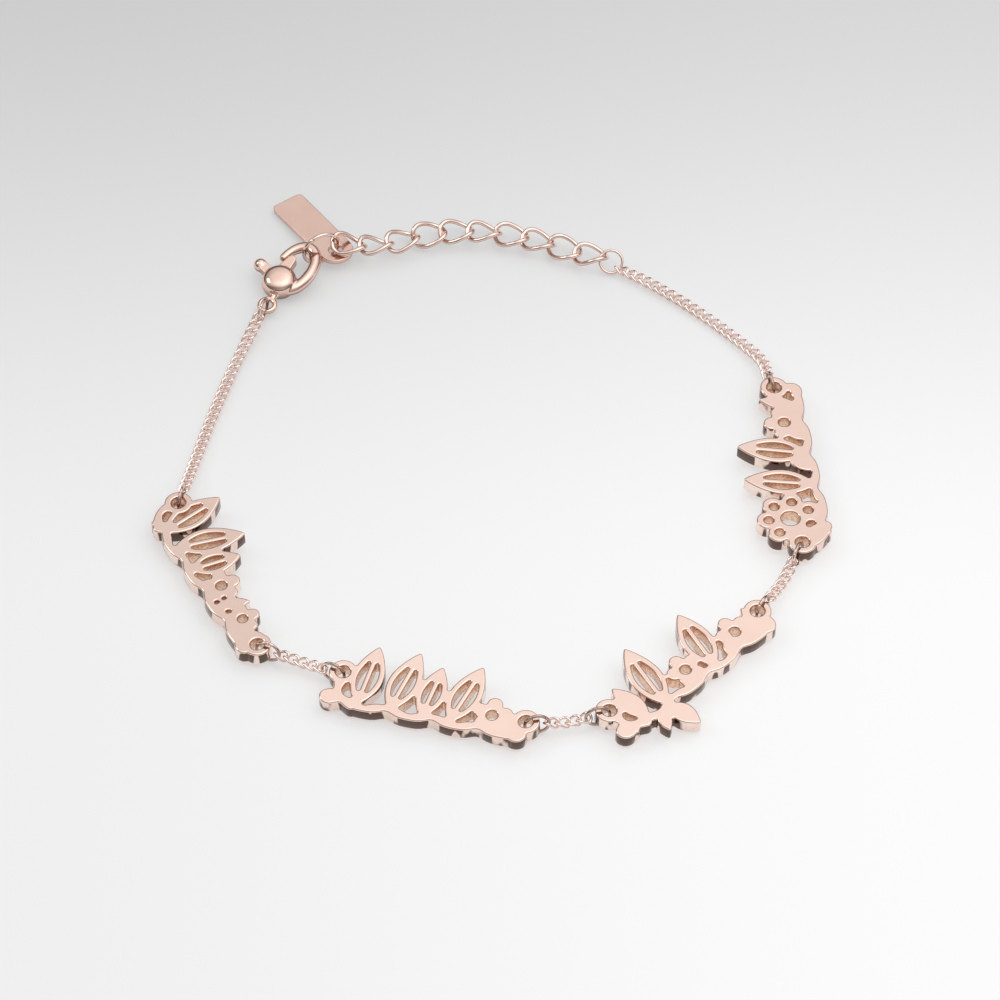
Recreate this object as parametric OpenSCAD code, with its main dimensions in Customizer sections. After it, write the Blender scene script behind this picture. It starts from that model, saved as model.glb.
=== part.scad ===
// Bracelet of four plates, pierced with leaves and flowers, on a fine curb chain, with a
// lobster clasp, an extender of wide curb links and a small bare tag. It lies in an open
// loop on a surface.

/* [Plates] */
// Thickness of the cut-out plates
plate_t = 1.4; // [1.1:0.1:1.6]
// Height of the plates' underside above the surface
plate_lift = 0.66; // [0.6:0.02:1.0]
// Span of the left plate between its lug holes, along its baseline
span_left = 19.2; // [18:0.1:20]
// Span of the front left plate
span_front_left = 18.1; // [17:0.1:19]
// Span of the front right plate
span_front_right = 18.6; // [17.6:0.1:19.4]
// Span of the right plate
span_right = 19.8; // [18.8:0.1:20.6]
// Length of the longest leaves
leaf_len = 7.6; // [6.8:0.1:8.2]
// Width of the broad leaves
leaf_w = 3.1; // [2.9:0.05:3.2]
// Width of the narrow leaves
bud_w = 1.4; // [1.2:0.05:1.6]
// Height of the small flowers above the baseline
low_h = 4.3; // [3.8:0.1:4.6]
// Broadest stroke of the stems
stroke_w = 1.3; // [1.1:0.05:1.5]
// Narrowest stroke of the stems
hair_w = 0.75; // [0.6:0.05:0.9]
// Radius of the fillets where strokes meet
fillet_r = 0.16; // [0.08:0.02:0.24]
// Radius of the strokes' rounded tips
tip_r = 0.18; // [0.1:0.02:0.2]

/* [Lugs and jump rings] */
// Outer diameter of a lug
lug_d = 2.7; // [2.5:0.05:2.8]
// Diameter of a lug's hole
lug_hole_d = 1.35; // [1.2:0.05:1.5]
// Mean diameter of the jump rings in the lugs
jump_d = 2.3; // [2.26:0.02:2.4]
// Wire of the jump rings
jump_wire = 0.32; // [0.28:0.01:0.34]

/* [Fine chain] */
// Wire of the fine curb links
fine_wire = 0.26; // [0.24:0.01:0.27]
// Pitch of the fine links
fine_pitch = 0.92; // [0.9:0.01:1.0]
// Width of a fine link between the centres of its wires
fine_w = 0.98; // [0.94:0.01:1.0]
// Height of a fine link's twist above and below its middle
fine_twist = 0.25; // [0.24:0.01:0.28]

/* [Extender] */
// Wire of the extender links
wide_wire = 0.4; // [0.34:0.02:0.44]
// Width of an extender link between the centres of its wires
wide_w = 2.4; // [2.2:0.05:2.6]
// Height of an extender link's twist above and below its middle
wide_twist = 0.42; // [0.36:0.02:0.5]
// Mean diameter of the thin ring at the extender's far end
end_ring_d = 2.2; // [2.0:0.1:2.4]
// Wire of the thin ring
end_ring_wire = 0.28; // [0.26:0.01:0.32]

/* [Clasp] */
// Length of the clasp from the centre of its tail eye to its nose
clasp_len = 8.4; // [8.0:0.1:8.8]
// Width of the clasp across its claw
clasp_w = 4.6; // [4.3:0.1:5]
// Thickness of the claw's wire at its thickest
claw_d = 1.2; // [1.0:0.05:1.3]
// Thickness of the clasp's round housing
housing_t = 2.5; // [2.3:0.1:2.7]
// Thickness of the lever
lever_t = 1.0; // [0.8:0.05:1.1]
// Diameter of the pivot pin
pin_d = 0.8; // [0.6:0.05:0.9]
// Mean diameter of the jump ring in the tail eye
tail_ring_d = 2.2; // [2.16:0.02:2.3]

/* [Tag] */
// Length of the tag
tag_len = 10.4; // [9.4:0.1:11]
// Width of the tag
tag_w = 3.4; // [3:0.1:3.6]
// Thickness of the tag
tag_t = 0.5; // [0.4:0.05:0.6]
// Diameter of the tag's hole
tag_hole_d = 1.4; // [1.35:0.05:1.5]
// Mean diameter of the ring that holds the tag
tag_ring_d = 3.64; // [3.5:0.02:3.8]
// Wire of the ring that holds the tag
tag_ring_wire = 0.4; // [0.36:0.02:0.42]

/* [Hidden] */

rose_gold = "#D9A690";
pale_rose = "#EBC3B2";

// Clearance between links, rings and eyes that interlock
link_gap = 0.14;
// Clearance between a ring's wire and the end of the link hooked over it
hook_gap = 0.2;
// Clearance of the lever on its pin and in its slot
lever_gap = 0.08;
// Clearance that the loops keep above the surface
floor_gap = 0.01;

plate_mid = plate_lift + plate_t / 2;
lug_r = lug_d / 2;
lug_rim = (lug_d / 2 + lug_hole_d / 2) / 2;
// How far a jump ring's centre lies from the centre of its lug hole
ring_out = lug_rim + 0.05;
ring_reach = ring_out + jump_d / 2;

// Where the plates lie: middle between the lug holes in plan, heading of the
// baseline and tilt of the upper edge, each in reading order round the loop
PLATE_X = 0;
PLATE_Y = 1;
PLATE_HEADING = 2;
PLATE_TILT = 3;
PLATE_SPAN = 4;
PLATE_LUG_A = 5;
PLATE_LUG_B = 6;
plates = [
    [-25.97, -14.43, -61, 3, span_left, 3.5, 1.8],
    [-5.37, -29.63, -14.5, 5, span_front_left, 3.9, 2.3],
    [18.03, -25.23, 44.6, 3.5, span_front_right, 3.7, 2.5],
    [28.33, -0.73, 98.5, 3, span_right, 3.1, 2.5]
];

// Chosen points of the chains' routes in plan and height
route_left = [[-28.37, 1.07, 0.6], [-27.07, 6.07, 0.46], [-25.57, 11.07, 0.46], [-24.27, 14.87, 0.55]];
route_front_left = [[-17.87, -24.83, 1.15]];
route_front = [[7.03, -32.13, 1.1]];
route_front_right = [[27.53, -15.03, 1.15]];
route_right = [[26.03, 13.67, 0.9], [23.23, 17.17, 0.48], [19.43, 20.77, 0.48], [15.53, 23.77, 0.62]];
route_extender = [[-11.27, 28.17, 1.4], [-7.57, 29.57, 1.2], [-3.37, 30.37, 1.2], [1.03, 29.97, 1.2],
    [5.03, 28.87, 1.2], [8.23, 27.57, 1.1]];
clasp_at = [-21.87, 20.77];
clasp_heading = 58.5;
clasp_pitch = 7;
tag_ring_heading = 24;
end_ring_at = [11.63, 26.37];
end_ring_tilt = 42;
tag_heading = 125;
tag_slope = 4.2;
wide_rolls = [-4, -16, -2, 14, 2, -12, 4, -6, 10, -4];

// Smooth curve through chosen points
curve_steps = 10;
function knot(pts, i) = pts[max(0, min(len(pts) - 1, i))];
function curve_point(a, b, c, d, t) =
    b + t / 2 * ((c - a) + (2 * a - 5 * b + 4 * c - d) * t + (3 * b - a - 3 * c + d) * t * t);
function smooth(pts) = concat(
    [for (i = [0:len(pts) - 2], k = [0:curve_steps - 1])
        curve_point(knot(pts, i - 1), pts[i], pts[i + 1], knot(pts, i + 2), k / curve_steps)],
    [pts[len(pts) - 1]]
);
function step_length(pts, i) = i < len(pts) - 1 ? norm(pts[i + 1] - pts[i]) : 0;
function run_lengths(pts) = [for (i = 0, s = 0; i < len(pts); s = s + step_length(pts, i), i = i + 1) s];
function stretch_at(runs, s, i = 0) =
    i >= len(runs) - 2 || runs[i + 1] >= s ? i : stretch_at(runs, s, i + 1);
function along(pts, runs, s) =
    let (i = stretch_at(runs, s), k = (s - runs[i]) / (runs[i + 1] - runs[i]))
    pts[i] + k * (pts[i + 1] - pts[i]);
function unit(v) = v / norm(v);
function flat_dir(a, b) = unit([b[0] - a[0], b[1] - a[1], 0]);

// A curb link: an oval of wire whose sides rise and fall so that its neighbours nest
// in it. Half is its half length, and its flat chords keep that length and width clear.
function link_curve(half, w, twist, t) = [half * cos(t), w / 2 * sin(t), twist * sin(2 * t)];
function link_tangent(half, w, twist, t) =
    unit([-half * sin(t), w / 2 * cos(t), 2 * twist * cos(2 * t)]);
function link_axes(dir, roll) =
    let (side = unit(cross([0, 0, 1], dir)), up = cross(dir, side))
    [dir, side * cos(roll) + up * sin(roll), up * cos(roll) - side * sin(roll)];
function in_axes(axes, v) = v[0] * axes[0] + v[1] * axes[1] + v[2] * axes[2];
function link_points(half, w, twist, wire, sides, around, centre, axes) =
    [for (i = [0:sides - 1], k = [0:around - 1])
        let (
            t = 360 * (i + 0.5) / sides,
            a = 360 * k / around,
            grow = 1 / cos(180 / sides),
            tangent = link_tangent(half, w, twist, t),
            across = unit(cross(tangent, [0, 0, 1])),
            lift = cross(across, tangent),
            p = grow * link_curve(half, w, twist, t) + wire / 2 * (cos(a) * across + sin(a) * lift)
        )
        centre + in_axes(axes, p)];
function loop_faces(sides, around) =
    [for (i = [0:sides - 1], k = [0:around - 1], half_face = [0, 1])
        let (
            j = (i + 1) % sides,
            m = (k + 1) % around,
            a = i * around + k,
            b = i * around + m,
            c = j * around + m,
            d = j * around + k
        )
        half_face == 0 ? [a, b, c] : [a, c, d]];

module curb_link(half, w, twist, wire, sides, around, centre, dir, roll = 0) {
    polyhedron(
        points = link_points(half, w, twist, wire, sides, around, centre, link_axes(dir, roll)),
        faces = loop_faces(sides, around)
    );
}

// Joints between the links of a chain that runs between two ring wires. Each end link
// hooks over its ring's wire, and all links share one pitch close to the wanted one.
function hook_in(end_wire, wire) = end_wire / 2 + wire / 2 + hook_gap;
function link_count(run, pitch, wire, hooks) = max(1, round((run - wire - link_gap + hooks) / pitch));
function true_pitch(run, count, wire, hooks) = (run - wire - link_gap + hooks) / count;
function half_length(pitch, wire) = (pitch + wire + link_gap) / 2;
function link_centre(i, pitch, wire, hook) = half_length(pitch, wire) - hook + i * pitch;

// The fine chain along a route between two rings. Its last links may roll towards
// a leaning ring.
fine_sides = 10;
fine_around = 5;
module fine_chain(route, wire_a, wire_b, end_roll = 0) {
    pts = smooth(route);
    runs = run_lengths(pts);
    run = runs[len(runs) - 1];
    hook_a = hook_in(wire_a, fine_wire);
    hooks = hook_a + hook_in(wire_b, fine_wire);
    count = link_count(run, fine_pitch, fine_wire, hooks);
    pitch = true_pitch(run, count, fine_wire, hooks);
    half = half_length(pitch, fine_wire);
    for (i = [0:count - 1]) {
        s = link_centre(i, pitch, fine_wire, hook_a);
        a = along(pts, runs, s - pitch / 2);
        b = along(pts, runs, s + pitch / 2);
        roll = end_roll * max(0, i - count + 4) / 3;
        curb_link(half, fine_w, fine_twist, fine_wire, fine_sides, fine_around,
            (a + b) / 2, unit(b - a), roll);
    }
}

// Round rings of wire
module wire_ring(d, wire) {
    rotate_extrude($fn = 48) translate([d / 2, 0]) circle(d = wire, $fn = 24);
}
// A ring that stands upright in the plane of a heading
module upright_ring(d, wire, heading) {
    rotate([0, 0, heading]) rotate([90, 0, 0]) wire_ring(d, wire);
}

// Lug places in a plate's own frame and in plan. The plate tilts about the line
// through its two lug holes, which stay at one height.
function lug_line(p) = atan2(p[PLATE_LUG_B] - p[PLATE_LUG_A], p[PLATE_SPAN]);
function lug_pitch(p) = norm([p[PLATE_SPAN], p[PLATE_LUG_B] - p[PLATE_LUG_A]]);
function line_heading(p) = p[PLATE_HEADING] + lug_line(p);
function lug_at(p, end) =
    let (h = line_heading(p), reach = (end - 0.5) * lug_pitch(p))
    [p[PLATE_X] + reach * cos(h), p[PLATE_Y] + reach * sin(h), plate_mid];
function ring_wire_at(lug, toward) = lug + ring_reach * flat_dir(lug, toward);

// Neighbours of the eight lugs in order round the loop
lug_left_a = lug_at(plates[0], 0);
lug_left_b = lug_at(plates[0], 1);
lug_front_left_a = lug_at(plates[1], 0);
lug_front_left_b = lug_at(plates[1], 1);
lug_front_right_a = lug_at(plates[2], 0);
lug_front_right_b = lug_at(plates[2], 1);
lug_right_a = lug_at(plates[3], 0);
lug_right_b = lug_at(plates[3], 1);
LUGS = [lug_left_a, lug_left_b, lug_front_left_a, lug_front_left_b,
    lug_front_right_a, lug_front_right_b, lug_right_a, lug_right_b];
TOWARD = [route_left[0], route_front_left[0], route_front_left[0], route_front[0],
    route_front[0], route_front_right[0], route_front_right[0], route_right[0]];
function lug_wire(i) = ring_wire_at(LUGS[i], TOWARD[i]);

// Strokes of the ornament, drawn in a plate's own frame with the baseline at zero
function stroke_side(pts, i) =
    let (d = unit(pts[min(i + 1, len(pts) - 1)] - pts[max(i - 1, 0)]))
    [-d[1], d[0]];
module stroke(pts, widths) {
    for (i = [0:len(pts) - 2]) {
        a = stroke_side(pts, i) * widths[i] / 2;
        b = stroke_side(pts, i + 1) * widths[i + 1] / 2;
        polygon([pts[i] + a, pts[i] - a, pts[i + 1] - b, pts[i + 1] + b]);
    }
    for (i = [0, len(pts) - 1]) translate(pts[i]) circle(d = widths[i], $fn = 24);
}
function bezier(a, b, c, d, t) =
    a * pow(1 - t, 3) + 3 * b * t * pow(1 - t, 2) + 3 * c * t * t * (1 - t) + d * pow(t, 3);
stroke_steps = 12;
function swell(t, ends, middle) = ends + (middle - ends) * sin(180 * t);
module tendril(a, b, c, d, ends = hair_w, middle = hair_w) {
    stroke(
        [for (k = [0:stroke_steps]) bezier(a, b, c, d, k / stroke_steps)],
        [for (k = [0:stroke_steps]) swell(k / stroke_steps, ends, middle)]
    );
}

// A leaf that grows from the stem in a direction. Broad leaves are cut through on both
// sides of a middle vein
leaf_steps = 15;
leaf_rim = 0.6;
vein_w = 0.5;
function leaf_edge(l, w, side) =
    [for (k = [0:leaf_steps])
        let (t = k / leaf_steps)
        [l * t, side * w / 2 * pow(sin(180 * pow(t, 0.9)), 0.85)]];
module leaf_shape(l, w) {
    back = leaf_edge(l, w, -1);
    polygon(concat(leaf_edge(l, w, 1), [for (k = [leaf_steps - 1:-1:1]) back[k]]));
}
module leaf(x, angle, l, w) {
    translate([x, root_v]) rotate(angle) difference() {
        leaf_shape(l, w);
        if (w > 4 * leaf_rim) difference() {
            translate([l * 0.14, 0]) leaf_shape(l * 0.7, w - 2 * leaf_rim);
            translate([0, -vein_w / 2]) square([l, vein_w]);
        }
    }
}
// A flower of round petals with a holed heart. Large petals have holes of their own
module flower(x, y, r, petals) {
    petal_r = r * sin(180 / petals) / (1 + sin(180 / petals)) * 1.04;
    translate([x, y]) difference() {
        union() {
            circle(r = r - 1.4 * petal_r, $fn = 32);
            for (i = [0:petals - 1]) rotate(90 + i * 360 / petals)
                translate([r - petal_r, 0]) circle(r = petal_r, $fn = 24);
        }
        circle(r = 0.27 * r, $fn = 24);
        if (petal_r > 2 * vein_w) for (i = [0:petals - 1]) rotate(90 + i * 360 / petals)
            translate([r - 1.15 * petal_r, 0]) circle(r = petal_r - 1.15 * vein_w, $fn = 20);
    }
}
// A tendril that rolls up from the end of the stem
curl_steps = 22;
curl_in = 0.6;
module curl(x, y, r, side, turns, from = -90) {
    pts = [for (k = [0:curl_steps])
        let (
            t = k / curl_steps,
            a = from + side * 360 * turns * t,
            q = (r - stroke_w / 2) * (1 - curl_in * t)
        )
        [x, y] + q * [cos(a), sin(a)]];
    stroke(pts, [for (k = [0:curl_steps]) stroke_w - (stroke_w - hair_w) * k / curl_steps]);
    translate(pts[curl_steps]) circle(d = stroke_w, $fn = 24);
}
// The waving stem along the baseline
root_v = 0.55;
stem_wave = 0.24;
module stem(a, b, waves) {
    steps = 10 * waves;
    turn = 360 * waves / steps;
    stroke(
        [for (k = [0:steps]) [a + (b - a) * k / steps, root_v + stem_wave * sin(turn * k)]],
        [for (k = [0:steps]) hair_w + stem_wave * pow(cos(turn * k), 2)]
    );
}
// Lug discs with the stems that rise to them
module lug_discs(p) {
    s = p[PLATE_SPAN];
    a = p[PLATE_LUG_A];
    b = p[PLATE_LUG_B];
    translate([0, a]) circle(d = lug_d, $fn = 48);
    translate([s, b]) circle(d = lug_d, $fn = 48);
    tendril([0, a - 0.7 * lug_r], [-0.15 * lug_r, 1.33 * lug_r], [0.15 * lug_r, 0.67 * lug_r],
        [0.09 * s, root_v], stroke_w, hair_w);
    tendril([0.92 * s, root_v], [0.97 * s, 0.22 * lug_r], [s, 0.3 * lug_r],
        [s, b - 0.7 * lug_r], hair_w, stroke_w);
}

// Leaves and flowers of each plate, placed as shares of its span
module spray_left(p) {
    s = p[PLATE_SPAN];
    leaf(0.13 * s, 99, 0.9 * leaf_len, leaf_w);
    leaf(0.245 * s, 74, 0.92 * leaf_len, leaf_w);
    leaf(0.41 * s, 80, 0.68 * leaf_len, 0.9 * leaf_w);
    flower(0.58 * s, 0.52 * low_h, 0.45 * low_h, 5);
    leaf(0.68 * s, 70, 0.8 * low_h, 1.07 * bud_w);
    flower(0.82 * s, 0.48 * low_h, 0.41 * low_h, 5);
    leaf(0.9 * s, 64, 0.62 * low_h, 0.93 * bud_w);
    stem(0.06 * s, 0.95 * s, 4);
}
module spray_front_left(p) {
    s = p[PLATE_SPAN];
    curl(-0.04 * s, 0.245 * low_h, 0.245 * low_h, -1, 0.7, -60);
    leaf(0.12 * s, 86, 0.92 * leaf_len, leaf_w);
    leaf(0.29 * s, 79, 0.96 * leaf_len, leaf_w);
    leaf(0.465 * s, 84, 0.8 * leaf_len, 0.9 * leaf_w);
    leaf(0.61 * s, 76, 0.94 * leaf_len, leaf_w);
    flower(0.82 * s, 0.53 * low_h, 0.47 * low_h, 5);
    leaf(0.92 * s, 68, 0.7 * low_h, 0.93 * bud_w);
    stem(-0.03 * s, 0.95 * s, 4);
}
module spray_front_right(p) {
    s = p[PLATE_SPAN];
    curl(-0.03 * s, 0.27 * low_h, 0.27 * low_h, -1, 0.7, -60);
    leaf(0.115 * s, 92, 0.64 * leaf_len, 0.75 * leaf_w);
    leaf(0.24 * s, 77, leaf_len, 1.06 * leaf_w);
    leaf(0.19 * s, -112, 0.34 * leaf_len, bud_w);
    leaf(0.25 * s, -80, 0.5 * leaf_len, 0.7 * leaf_w);
    flower(0.465 * s, 0.52 * low_h, 0.45 * low_h, 5);
    leaf(0.594 * s, 76, 0.93 * leaf_len, 1.03 * leaf_w);
    leaf(0.69 * s, 46, 0.7 * low_h, 0.93 * bud_w);
    flower(0.82 * s, 0.52 * low_h, 0.46 * low_h, 5);
    leaf(0.92 * s, 80, 0.8 * low_h, 0.93 * bud_w);
    stem(0.01 * s, 0.95 * s, 4);
}
module spray_right(p) {
    s = p[PLATE_SPAN];
    flower(0.155 * s, root_v + 0.42 * leaf_len, 0.43 * leaf_len, 7);
    leaf(0.06 * s, 70, 0.4 * low_h, 1.07 * bud_w);
    leaf(0.36 * s, 79, 0.92 * leaf_len, leaf_w);
    leaf(0.45 * s, 48, 0.7 * low_h, 0.93 * bud_w);
    leaf(0.56 * s, 77, 0.92 * leaf_len, leaf_w);
    leaf(0.65 * s, 48, 0.66 * low_h, 0.93 * bud_w);
    flower(0.77 * s, 0.53 * low_h, 0.47 * low_h, 5);
    leaf(0.87 * s, 72, 0.92 * low_h, 1.14 * bud_w);
    stem(0.06 * s, 0.95 * s, 4);
}
module spray(index) {
    p = plates[index];
    if (index == 0) spray_left(p);
    if (index == 1) spray_front_left(p);
    if (index == 2) spray_front_right(p);
    if (index == 3) spray_right(p);
}

// A plate: ornament and lugs cut from one sheet, with a round hole through each lug
module plate(index) {
    p = plates[index];
    color(pale_rose)
    translate([p[PLATE_X], p[PLATE_Y], plate_mid])
    rotate([0, 0, line_heading(p)])
    rotate([p[PLATE_TILT], 0, 0])
    rotate([0, 0, -lug_line(p)])
    translate([-p[PLATE_SPAN] / 2, -(p[PLATE_LUG_A] + p[PLATE_LUG_B]) / 2, -plate_t / 2])
    difference() {
        linear_extrude(plate_t)
            offset(r = -fillet_r, $fn = 24) offset(r = tip_r + fillet_r, $fn = 24)
            offset(delta = -tip_r) {
                spray(index);
                lug_discs(p);
            }
        for (lug = [[0, p[PLATE_LUG_A]], [p[PLATE_SPAN], p[PLATE_LUG_B]]])
            translate([lug[0], lug[1], -1]) cylinder(d = lug_hole_d, h = plate_t + 2, $fn = 48);
    }
}
module plate_left() {
    plate(0);
}
module plate_front_left() {
    plate(1);
}
module plate_front_right() {
    plate(2);
}
module plate_right() {
    plate(3);
}

// Jump rings, one standing in each lug
module lug_ring(i) {
    toward = flat_dir(LUGS[i], TOWARD[i]);
    color(rose_gold)
    translate(LUGS[i] + ring_out * toward)
    upright_ring(jump_d, jump_wire, atan2(toward[1], toward[0]));
}

// Clasp, in a frame with its tail eye at the origin, its nose along +X and the lever on +Y
claw_r = claw_d / 2;
claw_root = 1.5;
claw_half_l = (clasp_len - claw_root) / 2 - claw_r;
claw_half_w = clasp_w / 2 - claw_r;
claw_x = claw_root + claw_r + claw_half_l;
housing_x = claw_root + 1.45;
housing_y = 0.45;
housing_r = 1.75;
pivot = [housing_x - 0.05, housing_y + 0.45];
// How far the pin's ends lie inside the housing
pin_inset = 0.3;
// The lever's slot: how far behind the pivot it starts, and its length and width
slot_back = 1.05;
slot_size = [3.4, 4];
eye_d = 1.48;
eye_wire = 0.56;
// Height of the tail eye, so that the housing of the pitched clasp rests on the surface
clasp_mid = housing_t / 2 + floor_gap - housing_x * sin(clasp_pitch);
tail_ring_z = (tail_ring_d + jump_wire) / 2 + floor_gap;
tail_ring_out = sqrt(pow(tail_ring_d / 2, 2) - pow(tail_ring_z - clasp_mid, 2));
// The claw runs round its ellipse from inside the housing to its tip
claw_start_angle = 200;
claw_tip_angle = 76;
claw_steps = 26;
claw_around = 12;
function claw_at(a) = [claw_x + claw_half_l * cos(a), claw_half_w * sin(a), 0];
function claw_radius(k) = claw_r * (k < 0.12 ? 0.8 + k * 1.6 : k < 0.7 ? 1 : 1 - (k - 0.7) * 0.95);
claw_tip = claw_at(claw_tip_angle);

function tube_points(pts, radii, around) =
    [for (i = [0:len(pts) - 1], k = [0:around - 1])
        let (
            tangent = unit(pts[min(i + 1, len(pts) - 1)] - pts[max(i - 1, 0)]),
            across = unit(cross(tangent, [0, 0, 1])),
            a = 360 * k / around
        )
        pts[i] + radii[i] * (cos(a) * across + sin(a) * cross(across, tangent))];
function tube_faces(rings, around) = concat(
    [[for (k = [around - 1:-1:0]) k]],
    [for (i = [0:rings - 2], k = [0:around - 1])
        let (m = (k + 1) % around)
        [i * around + k, i * around + m, (i + 1) * around + m, (i + 1) * around + k]],
    [[for (k = [0:around - 1]) (rings - 1) * around + k]]
);
module claw() {
    span = 360 + claw_tip_angle - claw_start_angle;
    body = [for (k = [0:claw_steps]) claw_at(claw_start_angle + span * k / claw_steps)];
    last = body[claw_steps];
    ahead = unit(last - body[claw_steps - 1]);
    end_r = claw_radius(1);
    pts = concat(body, [last + ahead * end_r * 0.5, last + ahead * end_r * 0.86]);
    radii = concat([for (k = [0:claw_steps]) claw_radius(k / claw_steps)], [end_r * 0.87, end_r * 0.5]);
    polyhedron(points = tube_points(pts, radii, claw_around), faces = tube_faces(len(pts), claw_around));
}
// Round pebble-shaped housing
module pebble(r, t) {
    edge = t * 0.42;
    rotate_extrude($fn = 48) intersection() {
        translate([r - edge, 0]) union() {
            circle(r = edge, $fn = 40);
            translate([-r, -edge]) square([r, 2 * edge]);
        }
        translate([0, -t]) square([r + 1, 2 * t]);
    }
}
module clasp_frame() {
    translate([clasp_at[0], clasp_at[1], clasp_mid]) rotate([0, -clasp_pitch, clasp_heading]) children();
}
module clasp_body() {
    slot = lever_t + 2 * lever_gap;
    pin_len = housing_t - 2 * pin_inset;
    color(rose_gold) clasp_frame() {
        difference() {
            union() {
                claw();
                translate([housing_x, housing_y, 0]) pebble(housing_r, housing_t);
                translate([eye_d / 2, 0, 0]) rotate([0, 90, 0])
                    cylinder(r1 = eye_wire / 2, r2 = 0.95, h = claw_root + 0.3, $fn = 32);
                wire_ring(eye_d, eye_wire);
            }
            translate([pivot[0] - slot_back, housing_y - slot_back, -slot / 2])
                cube([slot_size[0], slot_size[1], slot]);
        }
        translate([pivot[0], pivot[1], -pin_len / 2]) cylinder(d = pin_d, h = pin_len, $fn = 32);
    }
}

// Lever, at rest against the claw's tip
lever_root_r = 0.85;
lever_tip_r = 0.42;
lever_tip = [claw_tip[0] + 0.05, claw_tip[1] - claw_radius(1) - lever_tip_r - 1.5 * lever_gap];
knob_at = [housing_x + 0.85, housing_y + housing_r + 0.95];
knob_r = 0.55;
module clasp_lever() {
    color(rose_gold) clasp_frame() difference() {
        union() {
            translate([0, 0, -lever_t / 2]) linear_extrude(lever_t) {
                hull() {
                    translate(pivot) circle(r = lever_root_r, $fn = 32);
                    translate(lever_tip) circle(r = lever_tip_r, $fn = 24);
                }
                hull() {
                    translate(pivot + [0.25, 0]) circle(r = lever_root_r * 0.7, $fn = 32);
                    translate(knob_at) circle(r = knob_r * 0.8, $fn = 24);
                }
            }
            translate([knob_at[0], knob_at[1], 0]) sphere(r = knob_r * 1.25, $fn = 32);
        }
        translate([pivot[0], pivot[1], -housing_t])
            cylinder(d = pin_d + 2 * lever_gap, h = 2 * housing_t, $fn = 32);
    }
}

// Jump ring in the tail eye, in line with the left chain
tail_dir = flat_dir(clasp_at, route_left[len(route_left) - 1]);
tail_ring_centre = [clasp_at[0], clasp_at[1], tail_ring_z] + tail_ring_out * tail_dir;
tail_ring_wire = tail_ring_centre + tail_ring_d / 2 * tail_dir;
module clasp_ring() {
    color(rose_gold)
    translate(tail_ring_centre) upright_ring(tail_ring_d, jump_wire, atan2(tail_dir[1], tail_dir[0]));
}

// The five fine chains
module chain_left() {
    color(rose_gold)
    fine_chain(concat([lug_wire(0)], route_left, [tail_ring_wire]), jump_wire, jump_wire);
}
module chain_front_left() {
    color(rose_gold)
    fine_chain(concat([lug_wire(1)], route_front_left, [lug_wire(2)]), jump_wire, jump_wire);
}
module chain_front() {
    color(rose_gold)
    fine_chain(concat([lug_wire(3)], route_front, [lug_wire(4)]), jump_wire, jump_wire);
}
module chain_front_right() {
    color(rose_gold)
    fine_chain(concat([lug_wire(5)], route_front_right, [lug_wire(6)]), jump_wire, jump_wire);
}
module chain_right() {
    color(rose_gold) fine_chain(
        concat([lug_wire(7)], route_right, [end_ring_right]), jump_wire, end_ring_wire, 18);
}

// Thin ring at the far end of the extender, leaning towards the front
// Extra height of the tilted ring, which the chain ends hold up
end_ring_lift = 0.24;
end_ring_z = (end_ring_d + end_ring_wire) / 2 * sin(end_ring_tilt) + end_ring_lift;
end_ring_centre = [end_ring_at[0], end_ring_at[1], end_ring_z];
end_dir_left = flat_dir(end_ring_centre, route_extender[len(route_extender) - 1]);
end_dir_right = flat_dir(end_ring_centre, route_right[len(route_right) - 1]);
// A point of the leaning ring's wire whose plan lies in a direction from its centre
function end_wire_at(dir) =
    let (v = unit([dir[0], dir[1], dir[1] * tan(end_ring_tilt)]))
    end_ring_centre + end_ring_d / 2 * v;
end_ring_left = end_wire_at(end_dir_left);
end_ring_right = end_wire_at(end_dir_right);
module extender_ring() {
    color(rose_gold)
    translate(end_ring_centre) rotate([end_ring_tilt, 0, 0]) wire_ring(end_ring_d, end_ring_wire);
}

// Ring that the clasp hooks into. It stands upright, with its wire inside the claw's nose
hooked_at = claw_x + claw_half_l - claw_r - tag_ring_wire / 2 - 1.5 * link_gap;
tag_ring_dir = [cos(tag_ring_heading), sin(tag_ring_heading), 0];
tag_ring_left = [clasp_at[0], clasp_at[1], 0]
    + hooked_at * cos(clasp_pitch) * [cos(clasp_heading), sin(clasp_heading), 0];
tag_ring_z = (tag_ring_d + tag_ring_wire) / 2 + floor_gap;
tag_ring_centre = tag_ring_left + tag_ring_d / 2 * tag_ring_dir + [0, 0, tag_ring_z];
tag_ring_right = tag_ring_centre + tag_ring_d / 2 * tag_ring_dir;
module tag_ring() {
    color(rose_gold)
    translate(tag_ring_centre) upright_ring(tag_ring_d, tag_ring_wire, tag_ring_heading);
}

// The extender's links between the tag ring and the thin ring
wide_sides = 14;
wide_around = 6;
wide_links = 10;
wide_route = smooth(concat([tag_ring_right], route_extender, [end_ring_left]));
wide_runs = run_lengths(wide_route);
wide_hook_a = hook_in(tag_ring_wire, wide_wire);
wide_hooks = wide_hook_a + hook_in(end_ring_wire, wide_wire);
wide_true_pitch = true_pitch(wide_runs[len(wide_runs) - 1], wide_links, wide_wire, wide_hooks);
module extender_link(i) {
    half = half_length(wide_true_pitch, wide_wire);
    s = link_centre(i - 1, wide_true_pitch, wide_wire, wide_hook_a);
    a = along(wide_route, wide_runs, s - wide_true_pitch / 2);
    b = along(wide_route, wide_runs, s + wide_true_pitch / 2);
    color(rose_gold)
    curb_link(half, wide_w, -wide_twist, wide_wire, wide_sides, wide_around,
        (a + b) / 2, unit(b - a), wide_rolls[i - 1]);
}

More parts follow.
